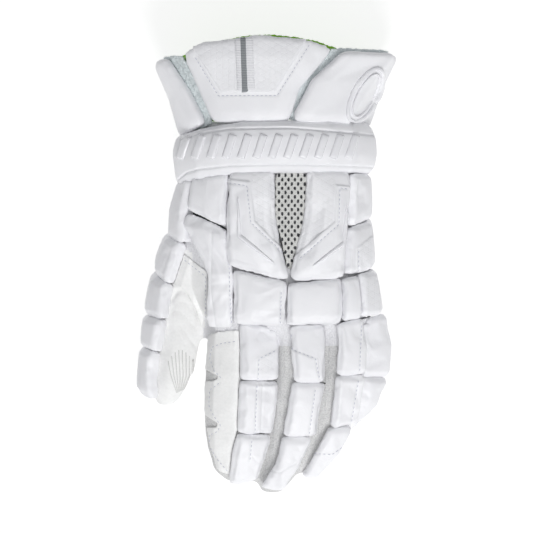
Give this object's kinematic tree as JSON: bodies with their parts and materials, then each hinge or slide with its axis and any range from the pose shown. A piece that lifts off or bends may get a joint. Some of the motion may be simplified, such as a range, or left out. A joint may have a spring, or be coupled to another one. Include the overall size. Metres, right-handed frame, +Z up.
{
  "type": "lacrosse glove",
  "caption": "White left-hand lacrosse glove with foam back pads, a flared cuff, a padded wrist band and grey knit finger sleeves, lying palm down.",
  "frame": {"origin": "on the surface that the glove lies on, under the middle of its outer box", "axes": "+Y from the fingertips to the cuff, +X from the thumb's side to the little finger's side, +Z up through the back of the hand"},
  "size_m": [0.187, 0.329, 0.0827],
  "materials": {
    "shell": "smooth coated synthetic leather",
    "suede": "matt suede",
    "lining": "matt fabric",
    "lime_lining": "brushed fabric",
    "knit": "knitted mesh",
    "fleece": "brushed fleece",
    "tape": "ribbed tape",
    "stripe": "ribbed tape",
    "moulded": "satin moulded relief"
  },
  "bodies": {
    "root": {"palm_leather": "suede", "back_lining": "lining", "thumb_sleeve": "suede", "index_sleeve": "knit", "middle_sleeve": "knit", "ring_sleeve": "knit", "little_sleeve": "knit", "wrist_band": "shell", "cuff_lining": "lime_lining", "knuckle_side_pad": "shell", "little_side_pad_upper": "shell", "little_side_pad_lower": "shell", "thumb_side_pad_upper": "shell", "thumb_side_pad_lower": "shell", "thumb_wall_pad": "shell", "back_pad_thumb": "shell", "back_pad_little": "shell", "knuckle_pad_thumb": "shell", "knuckle_pad_little": "shell", "knuckle_pad_small": "shell", "overlay_thumb": "shell", "accent_thumb": "moulded", "overlay_little": "shell", "accent_little": "moulded", "mesh_window": "knit", "index_pad_1": "shell", "index_pad_2": "shell", "index_pad_3": "shell", "middle_pad_1": "shell", "middle_pad_2": "shell", "middle_pad_3": "shell", "ring_pad_1": "shell", "ring_pad_2": "shell", "ring_pad_3": "shell", "little_pad_1": "shell", "little_pad_2": "shell", "thumb_pad_1": "shell", "thumb_pad_2": "shell", "thumb_pad_3": "shell", "thumb_tip_pad": "shell", "cuff_center_pad": "shell", "cuff_inset_panel": "shell", "cuff_tape": "tape", "cuff_stripe": "stripe", "thumb_wing_fleece": "fleece", "little_wing_fleece": "fleece", "thumb_wing": "shell", "little_wing": "shell", "wing_badge": "moulded", "thumb_patch": "suede", "index_side_panel": "suede"}
  },
  "joints": []
}
